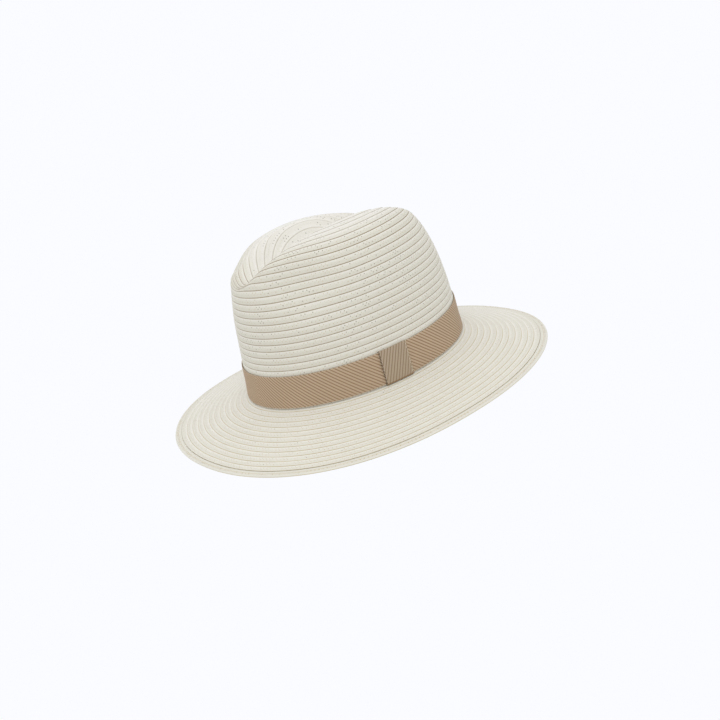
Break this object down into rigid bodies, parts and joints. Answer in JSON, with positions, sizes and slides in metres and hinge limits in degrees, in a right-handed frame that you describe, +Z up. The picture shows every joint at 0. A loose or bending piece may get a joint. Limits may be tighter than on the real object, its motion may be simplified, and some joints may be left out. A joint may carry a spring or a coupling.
{
  "type": "panama hat",
  "caption": "Sewn straw-braid hat with a centre-dented, pinched crown, a shallow sloping brim and a ribbon band held by a keeper.",
  "frame": {"origin": "middle of the brim's outline, on the surface that the hat stands on", "axes": "+X towards the wearer's left, -Y towards the front of the hat, +Z up out of the crown"},
  "size_m": [0.3108, 0.3326, 0.1551],
  "materials": {
    "straw": "braided paper straw, satin",
    "ribbon": "ribbed woven ribbon, soft sheen",
    "lining": "plain woven cotton, matte",
    "label": "woven satin label, blank",
    "thread": "polyester sewing thread",
    "wire": "clear nylon wire",
    "sleeve": "plain crimped sleeve"
  },
  "bodies": {
    "root": {"start_coil": "straw", "crown_tip": "straw", "crown_side": "straw", "brim": "straw", "edge_row": "straw", "brim_wire": "wire", "wire_sleeve": "sleeve", "hatband": "ribbon", "keeper": "ribbon", "keeper_stitches": "thread", "band_tacks": "thread", "sweatband": "lining", "sweatband_stitches": "thread", "size_label": "label"}
  },
  "joints": []
}
